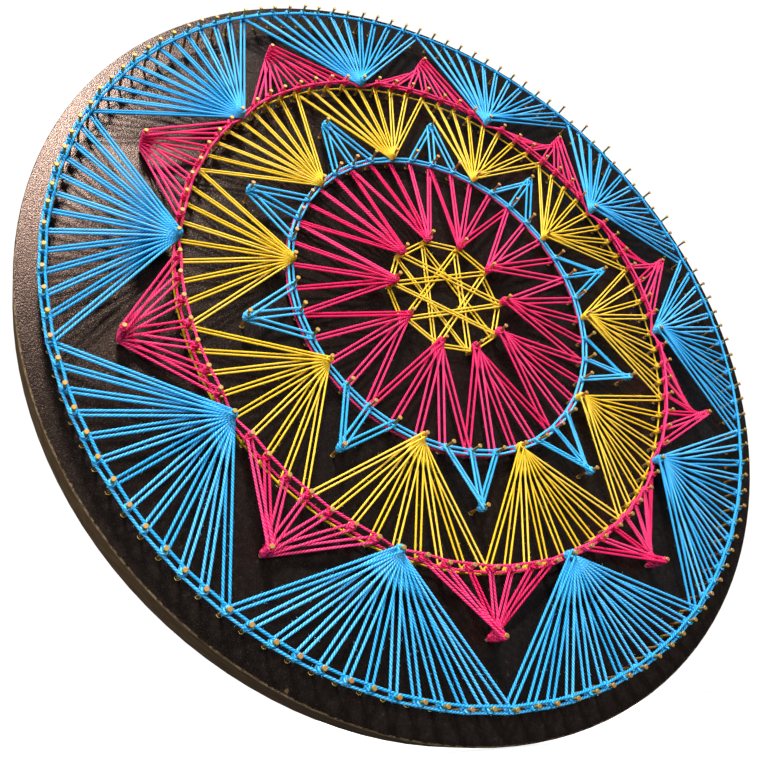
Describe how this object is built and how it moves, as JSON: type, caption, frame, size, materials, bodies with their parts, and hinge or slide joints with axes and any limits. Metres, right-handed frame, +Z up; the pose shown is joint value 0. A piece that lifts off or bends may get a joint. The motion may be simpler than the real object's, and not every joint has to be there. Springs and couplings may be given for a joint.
{
  "type": "string art wall hanging",
  "caption": "Round string art mandala: a black wooden board with rings of brass nails and fans of blue, pink and yellow thread, hung by a keyhole in its back.",
  "frame": {"origin": "on the wall plane at the top of the keyhole slot in the back, where the wall screw carries the board; the board's centre is 110 mm below", "axes": "+Z up as hung, the front faces -Y, +X to the right as seen from the front"},
  "size_m": [0.302, 0.0261, 0.302],
  "materials": {
    "black_wood": "satin",
    "brass": "satin",
    "blue_thread": "matte",
    "light_blue_thread": "matte",
    "pink_thread": "matte",
    "yellow_thread": "matte"
  },
  "bodies": {
    "root": {"board": "black_wood", "nails_centre": "brass", "nails_inner": "brass", "nails_blue_tips": "brass", "nails_middle": "brass", "nails_pink_tips": "brass", "nails_outer": "brass", "thread_yellow_star": "yellow_thread", "thread_pink_inner": "pink_thread", "thread_light_blue": "light_blue_thread", "thread_yellow_fans": "yellow_thread", "thread_pink_outer": "pink_thread", "thread_blue_fans": "blue_thread", "line_blue_outer": "blue_thread"}
  },
  "joints": []
}
